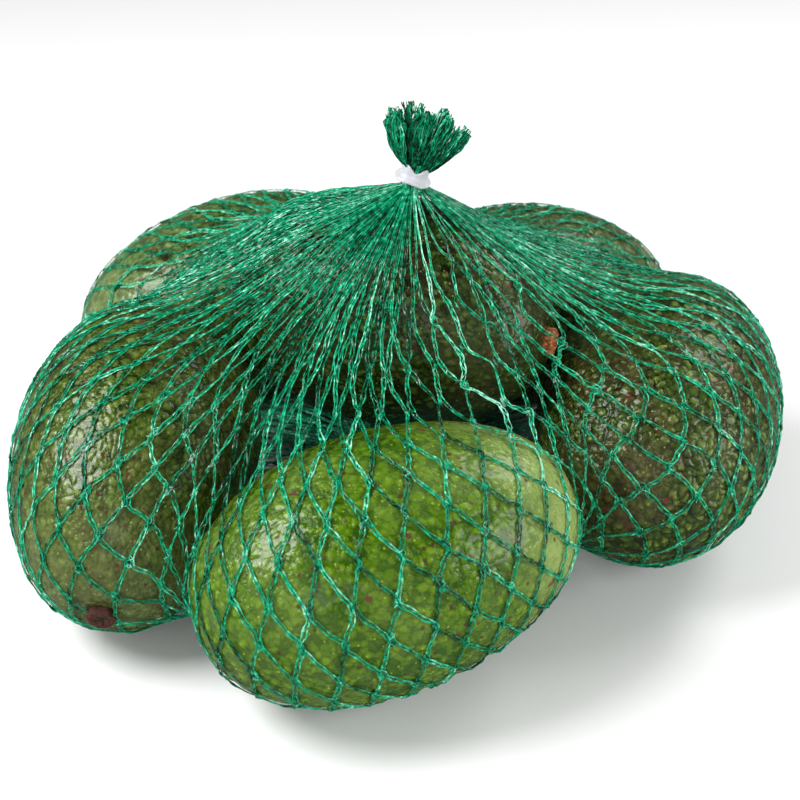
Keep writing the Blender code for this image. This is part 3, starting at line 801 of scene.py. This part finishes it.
def net_yarns(surface, normals):
    """The filaments of all yarns, as three groups of rods."""
    rng = np.random.default_rng(YARN_SEED)
    yarns = 2 * COLUMNS
    number = np.arange(yarns)[:, None]
    time = np.linspace(0.0, ROWS, ROWS * STEPS_PER_ROW + 1)[None]
    row = np.minimum(time.astype(int), ROWS - 1)
    part = time - row
    leave = np.clip((part - JOINT_SHARE) / (1.0 - 2.0 * JOINT_SHARE), 0.0, 1.0)
    leave = 0.85 * leave + 0.15 * smooth(leave)
    wave = np.where(row % 2 == 0, leave, 1.0 - leave)
    wave = np.where(number % 2 == 0, wave, 1.0 - wave)
    above = (number + (number + row) % 2) % yarns
    below = (number + (number + row + 1) % 2) % yarns
    calm = np.minimum(1.0, np.minimum(np.arange(ROWS + 1), ROWS - np.arange(ROWS + 1)) / 3.0)[:, None]
    joints = (ROWS + 1, yarns)
    row_shift = rng.normal(scale=JITTER_ROW, size=joints).clip(-0.25, 0.25) * calm
    column_shift = rng.normal(scale=JITTER_COLUMN, size=joints).clip(-0.18, 0.18) * calm
    crossed = rng.random(joints) < 0.35

    def shifted(table):
        return table[row, above] * (1.0 - leave) + table[row + 1, below] * leave

    level = level_of(time + shifted(row_shift))
    middle_turn = crowded((number + 0.5) / yarns, level)
    from_axis = np.linalg.norm(sample(surface, level, middle_turn)[..., :2] - NECK[:2], axis=-1)
    spacing = math.tau * np.maximum(from_axis, 0.5) / yarns
    inset = np.minimum(JOINT_ROOM / spacing, 0.30)
    at_upper = np.exp(-((part / 0.16) ** 2)) * crossed[row, above]
    at_lower = np.exp(-(((1.0 - part) / 0.16) ** 2)) * crossed[row + 1, below]
    crossing = at_upper + at_lower
    inset = inset * (1.0 - 1.6 * crossing)
    column = number + inset + (1.0 - 2.0 * inset) * wave + shifted(column_shift)
    turn = crowded(column / yarns, level)
    centre = sample(surface, level, turn)
    lift = unit(sample(normals, level, turn))

    layer = np.where(number % 2 == 0, 1.0, -1.0) * 0.16 * crossing
    heap = rng.uniform(0.0, 1.0, (yarns, 1)) * smooth(1.0 - from_axis / 30.0)
    centre = centre + lift * (layer + 0.05 + 0.9 * heap)[..., None]

    place = bundle_place(yarns)[:, None]
    for end, gather in ((NECK_END, 1.0 - time / 1.6), (BASE_END, 1.0 - (ROWS - time) / 1.6)):
        share = smooth(gather)[..., None]
        angle = math.tau * crowded(number / yarns, 0.0 * time)
        spot = np.stack([place * np.cos(angle), place * np.sin(angle), 0.0 * angle], axis=-1)
        spot = spot + np.array([NECK[0], NECK[1], end[1]])
        centre = centre * (1.0 - share) + spot * share

    phase = rng.uniform(0.0, math.tau, (yarns, 6))
    wander = np.sin(time * 1.3 + phase[:, :1]) + np.sin(time * 2.3 + phase[:, 1:2])
    side, lift = turned(*section_axes(centre, lift), 0.45 * wander)
    beat = math.tau * BEATS_PER_ROW * time + phase[:, 2:3] + 0.8 * np.sin(time * 1.9 + phase[:, 3:4])
    uneven = 1.0 + 0.20 * np.sin(time * 2.9 + phase[:, 4:5])
    half_width = np.clip(0.34 * spacing, 0.15, HALF_YARN) * uneven
    width = np.clip(0.12 * spacing, 0.09, TAPE_HALF_WIDTH)[..., None]
    shade = 0.46 + 0.16 * rng.normal(size=(yarns, 1)) + 0.10 * np.sin(time * 1.7 + phase[:, 5:6])
    strands = []
    for strand, line in enumerate(knitted(centre, side, lift, half_width, beat)):
        twist = 1.4 * np.sin(time * (5.0 + strand) + phase[:, strand : strand + 1]) + 0.8 * strand
        # Painted highlight: the first edge filament is lighter, the crossing filament darker.
        line_shade = shade + STRAND_SHADE * (1 - strand)
        strands.append(tapes(off_fruits(line), lift, twist, width, line_shade))
    return strands


def joint_laces(surface, normals):
    """Loops that cross over each joint, and film webs in its forks, as two groups of rods."""
    rng = np.random.default_rng(JOINT_SEED)
    yarns = 2 * COLUMNS
    row, column = np.meshgrid(np.arange(2, ROWS - 1), np.arange(yarns), indexing="ij")
    keep = (row + column) % 2 == 0
    row, column = row[keep], column[keep]
    level = level_of(row)
    turn = crowded(column / yarns, level)
    centre = sample(surface, level, turn)
    lift = sample(normals, level, turn)
    along = unit(sample(surface, level + 0.01, turn) - sample(surface, level - 0.01, turn))
    side = unit(np.cross(lift, along))
    lift = np.cross(along, side)
    spacing = math.tau * np.linalg.norm(centre[:, :2] - NECK[:2], axis=1) / yarns
    size = np.clip(spacing / 4.6, 0.25, 1.0)[:, None]
    run = np.linspace(-1.0, 1.0, 13)[None]
    each = (len(row), 1)
    phase = rng.uniform(0.0, math.tau, each)
    swing = 0.75 * size * np.sin(run * rng.uniform(3.0, 5.0, each) + phase)
    rise = 0.22 + 0.16 * np.cos(2 * run * 3.6 + phase)
    length = rng.uniform(1.3, 2.2, each)
    line = centre[:, None] + side[:, None] * swing[..., None]
    line = line + along[:, None] * (run * length)[..., None]
    line = off_fruits(line + lift[:, None] * rise[..., None])
    shade = rng.uniform(0.45, 0.9, each)
    axes = section_axes(line, lift[:, None])
    loops = (round_rods(line, *axes, LOOP_RADIUS * size[..., None]), shade, True)

    run = np.array([-1.0, -0.72, -0.3, 0.3, 0.72, 1.0])[None, :, None]
    reach = (rng.uniform(1.2, 1.9, each) * np.sqrt(size))[..., None]
    drift = (rng.normal(scale=0.22, size=each) * size)[..., None]
    line = centre[:, None] + along[:, None] * run * reach + side[:, None] * drift * run
    line = off_fruits(line + 0.04 * lift[:, None])
    span = np.array([0.25, 0.85, 0.70, 0.70, 0.85, 0.25])[None, :, None] * size[..., None]
    shade = rng.uniform(0.05, 0.42, each)
    axes = section_axes(line, lift[:, None])
    webs = (flat_rods(line, *axes, span, WEB_HALF_THICKNESS), shade, False)
    return column, (loops, webs)


def net():
    """The knitted sleeve in panels."""
    surface = drawn_surface()
    normals = normals_of(surface)
    strands = net_yarns(surface, normals)
    joint_columns, laces = joint_laces(surface, normals)
    finish = net_finish()
    per_panel = 2 * COLUMNS // NET_PANELS
    for panel in range(NET_PANELS):
        chosen = slice(panel * per_panel, (panel + 1) * per_panel)
        joints = joint_columns // per_panel == panel
        parts = [(corners[chosen], shade[chosen], is_smooth) for corners, shade, is_smooth in strands]
        parts += [(corners[joints], shade[joints], is_smooth) for corners, shade, is_smooth in laces]
        sleeve = assembled(f"net_panel_{panel + 1}", parts, finish)
        stand_in("net_sleeve")
        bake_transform(sleeve)


# Closures ------------


def closure_place(end):
    """Foot of the clip, and its three axes (right, depth, up) as rows."""
    if end == "neck":
        up = unit(np.array(JOINTS["tail_bend"]["pos_m"]) - np.array(JOINTS["clip_tilt"]["pos_m"]))
        right = np.array(JOINTS["tail_bend"]["axis"], float)
        return NECK, np.array([right, np.cross(up, right), up])
    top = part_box("base_clip")[1]
    return np.array([NECK[0], NECK[1], top.z / MM]), np.diag([1.0, -1.0, -1.0])


def clip(end, body, finish):
    """The crimped band: a thin wall with a flared, rounded lip at its foot and a V notch in front."""
    foot, axes = closure_place(end)
    bore, outer, top = CLIP_BORE, CLIP_BORE + CLIP_WALL, CLIP_HEIGHT
    lip = outer + CLIP_FLARE
    section = [
        (bore, 0.2), (bore + 0.3, -0.15), (lip - 0.5, -0.35), (lip - 0.12, -0.25), (lip, 0.05),
        (lip - 0.05, 0.4), (lip - 0.4, 0.75), (outer + 0.35, 1.1), (outer + 0.08, 1.6), (outer, 2.2),
        (outer, 3.0), (outer, top - 0.25), (outer - 0.1, top - 0.05), (outer - 0.25, top),
        (bore + 0.08, top - 0.06), (bore, top - 0.3), (bore, 2.2), (bore, 1.0),
    ]
    sides = 96
    radius, height = np.array(section).T
    turn = np.arange(sides)[:, None] * math.tau / sides
    from_front = np.abs((turn + math.pi / 2 + math.pi) % math.tau - math.pi)
    notch = CLIP_NOTCH * (1.0 - smooth(from_front / CLIP_NOTCH_REACH))
    upper = smooth((height - 2.0) / (CLIP_HEIGHT - 2.0))
    crimp = 1.0 + 0.05 * np.cos(2 * turn) + 0.018 * np.sin(5 * turn + 1.0) + 0.012 * np.sin(11 * turn)
    warp = 0.22 * np.sin(3 * turn + 0.6) * (1.0 - upper)
    local = np.stack([
        radius * crimp * np.cos(turn), radius * crimp * np.sin(turn), height - notch * upper + warp,
    ], axis=-1)
    count = len(section)
    index = np.arange(sides * count).reshape(sides, count)
    beside, after = np.roll(index, -1, axis=0), np.roll(index, -1, axis=1)
    both = np.roll(beside, -1, axis=1)
    quads = np.stack([index, beside, both, after], axis=-1).reshape(-1, 4)
    band = mesh_object(f"clip_band_{end}", foot + local.reshape(-1, 3) @ axes, quads, finish)
    rounding = band.modifiers.new("Rounding", "SUBSURF")
    rounding.levels = rounding.render_levels = 1
    stand_in(f"{end}_clip")
    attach(band, body)


def neck_bundle(end, finish):
    """Yarns drawn together from the end of the net into the clip."""
    foot, axes = closure_place(end)
    straight = np.array([0.0, 0.0, 1.0 if end == "neck" else -1.0])
    yarns = 2 * COLUMNS
    rng = np.random.default_rng(BUNDLE_SEED)
    spread = bundle_place(yarns)
    angle = math.tau * crowded(np.arange(yarns) / yarns, 0.0)
    start = (NECK_END[1] if end == "neck" else BASE_END[1]) - foot[2]
    steps = np.linspace(-abs(start), CLIP_HEIGHT + 0.6, 12)
    middle = foot + steps[:, None] * np.where(steps[:, None] < 0, straight, axes[2])
    offset = np.column_stack([np.cos(angle), np.sin(angle), 0.0 * angle])
    squeeze = 1.0 - 0.05 * smooth((steps + abs(start)) / 3.0)
    lines = middle + offset[:, None] * (spread[:, None] * squeeze)[..., None]
    shade = rng.uniform(0.15, 0.75, (yarns, 1))
    corners = round_rods(lines, *section_axes(lines, BUNDLE_UP), BUNDLE_YARN_RADIUS)
    bundle = assembled(f"yarn_bundle_{end}", [(corners, shade, True)], finish)
    stand_in(f"{end}_gather")
    if end == "neck":
        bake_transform(bundle)
    else:
        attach(bundle, "bag")


def tail(end, finish, count, length, lean, spread, depth):
    """The cut ends of the net, fanned out in clumps beyond the clip and ragged at the tips."""
    foot, axes = closure_place(end)
    rng = np.random.default_rng(TAIL_SEED)
    clump = rng.integers(0, TAIL_CLUMPS, (count, 1))
    middles = np.linspace(-1.0, 1.0, TAIL_CLUMPS) + rng.normal(scale=0.05, size=TAIL_CLUMPS)
    strays = rng.normal(scale=0.8 / TAIL_CLUMPS, size=(count, 1))
    fan = np.clip(middles[clump] + strays, -1.0, 1.0)
    clump_depth = rng.uniform(-1.0, 1.0, TAIL_CLUMPS)[clump]
    back = np.clip(0.6 * clump_depth + rng.uniform(-0.55, 0.55, (count, 1)), -1.0, 1.0)
    back = back * np.sqrt(np.maximum(0.05, 1.0 - 0.6 * fan**2))
    outline = np.interp(fan, np.linspace(-1.0, 1.0, len(TAIL_OUTLINE)), TAIL_OUTLINE)
    reach = length * outline * (1.0 + rng.normal(scale=0.02, size=TAIL_CLUMPS)[clump])
    reach = reach * (1.0 - 0.22 * rng.random((count, 1)) ** 3)
    run = np.linspace(0.0, 1.0, 20)[None]
    phase = rng.uniform(0.0, math.tau, (count, 4))
    drift = rng.normal(scale=0.05, size=(count, 1)) * np.sin(math.pi * run)
    angle = lean + spread * (fan + drift)
    root = 0.88 * CLIP_BORE
    root_x, root_y = root * fan * np.sqrt(1.0 - 0.45 * back**2), root * back * 0.8
    tip_x, tip_y, tip_z = reach * np.sin(angle), depth * back, reach * np.cos(angle)
    x = root_x * (1.0 - run) + tip_x * run**0.72 + 0.4 * run * np.sin(run * 9.0 + phase[:, :1])
    y = root_y * (1.0 - run) + tip_y * run**0.85 + 0.4 * run * np.sin(run * 8.0 + phase[:, 1:2])
    z = CLIP_HEIGHT - 1.6 + (tip_z + 1.6) * run**1.08
    lines = foot + np.stack([x, y, z], axis=-1) @ axes
    turning = rng.normal(scale=1.0, size=(count, 1)) + 1.6 * np.sin(run * 5.0 + phase[:, :1])
    side, lift = turned(*section_axes(lines, axes[1]), turning)
    half_width = (0.12 + 0.36 * smooth(run * 1.6)) * (1.0 + 0.2 * np.sin(run * 11.0 + phase[:, 1:2]))
    beat = run * reach * 1.45 + phase[:, 2:3]
    # Painted shade: the strands are darker at their roots by the clip and lighter towards the tips.
    shade = 0.10 + 0.18 * rng.normal(size=(count, 1)) + 0.34 * run
    parts = []
    for strand, line in enumerate(knitted(lines, side, lift, half_width, beat)):
        twist = 1.6 * np.sin(run * 9.0 + phase[:, strand : strand + 1]) + 0.8 * strand
        # Painted highlight: the first edge filament is lighter, the crossing filament darker.
        line_shade = shade + STRAND_SHADE * (1 - strand)
        parts.append(tapes(line, lift, twist, TAIL_TAPE_HALF_WIDTH, line_shade))
    fringe = assembled(f"yarn_tail_{end}", parts, finish)
    stand_in(f"{end}_tail")
    if end == "neck":
        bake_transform(fringe)
    else:
        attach(fringe, "bag")


# Stage ------------


def placed(name, data, place, heading=None):
    """Adds a lamp, a camera or an empty at a place, looking along a heading if one is given."""
    holder = bpy.data.objects.new(name, data)
    holder.location = place * MM
    if heading:
        holder.rotation_mode = "QUATERNION"
        holder.rotation_quaternion = heading.to_track_quat("-Z", "Y")
    bpy.context.scene.collection.objects.link(holder)
    return holder


def surroundings():
    """A pale floor in a white room, with a painted shadow under the bag."""
    floor = Finish("floor_pale")
    # Painted shadow: the floor darkens to near black under the middle of the bag.
    ends = {0: floor.place, 1: Vector(SHADE_MIDDLE)}
    from_middle = floor.add("ShaderNodeVectorMath", ends, operation="DISTANCE").outputs["Value"]
    shade = floor.ramp(from_middle, *SHADE_REACH, 0.03, 1.0)
    pale = floor.math("MULTIPLY", shade, floor.dimmed(0.92, 0.25))
    floor.set(Base_Color=pale, Roughness=0.9, Specular_IOR_Level=0.1)
    corners = FLOOR_HALF_SIZE * np.array([(-1, -1, 0), (1, -1, 0), (1, 1, 0), (-1, 1, 0)])
    mesh_object("floor", corners, np.array([[0, 1, 2, 3]]), floor.material)

    world = bpy.data.worlds.new("white_room")
    world.use_nodes = True
    room = Nodes(world.node_tree)
    direction = room.add("ShaderNodeTexCoord").outputs["Generated"]
    height = room.add("ShaderNodeSeparateXYZ", {0: direction}).outputs["Z"]
    walls = room.ramp(height, 0.35, 0.90, 1.0, 0.12, kind="LINEAR")  # hardly any light from above
    background = room.tree.nodes["Background"].inputs
    room.feed(background["Color"], (255, 255, 255))
    room.feed(background["Strength"], room.math("MULTIPLY", walls, room.dimmed(1.05, 0.12)))
    bpy.context.scene.world = world


def lamps():
    """Soft studio light, mostly from above left."""
    for name, place, size, power in LAMPS:
        lamp = bpy.data.lights.new(name, "AREA")
        lamp.shape = "DISK"
        lamp.size = size * MM
        lamp.energy = power
        placed(name, lamp, Vector(place), Vector(LAMP_AIM) - Vector(place))


def camera():
    """The photo's view, with the front fruit in focus."""
    scene = bpy.context.scene
    lens = bpy.data.cameras.new("camera")
    lens.lens = CAMERA_LENS
    lens.clip_start, lens.clip_end = 0.02, 20.0
    lens.dof.use_dof = True
    lens.dof.focus_object = placed("focus", None, Vector(FOCUS))
    lens.dof.aperture_fstop = F_STOP
    back = Vector((0.0, -math.cos(CAMERA_ELEVATION), math.sin(CAMERA_ELEVATION)))
    scene.camera = placed("camera", lens, Vector(CAMERA_TARGET) + back * CAMERA_DISTANCE, -back)
    scene.view_settings.view_transform = "Standard"


def main():
    for place in FRUITS:
        measure_fruit(place)
    ball, quads = cube_ball(SKIN_GRID)
    # The top fruit's stem scar gets a lighter brown than the other fruits' scars.
    dark_stem = stem_finish("stem_dark", (38, 18, 10), (92, 46, 26))
    light_stem = stem_finish("stem_light", (104, 50, 22), (226, 140, 82))
    coat = stone_finish()
    for place in FRUITS:
        avocado(place, ball, quads)
        stem_button(place, light_stem if place == "top" else dark_stem)
        stone = frame["nodes"][f"stone_{place}"]
        stone.data.materials.clear()
        stone.data.materials.append(coat)
    net()
    white, green = clip_finish(), bpy.data.materials["net_green"]
    clip("neck", "clip", white)
    clip("base", "bag", white)
    for end in TAILS:
        neck_bundle(end, green)
    for end, shape in TAILS.items():
        tail(end, green, **shape)
    surroundings()
    lamps()
    camera()


main()
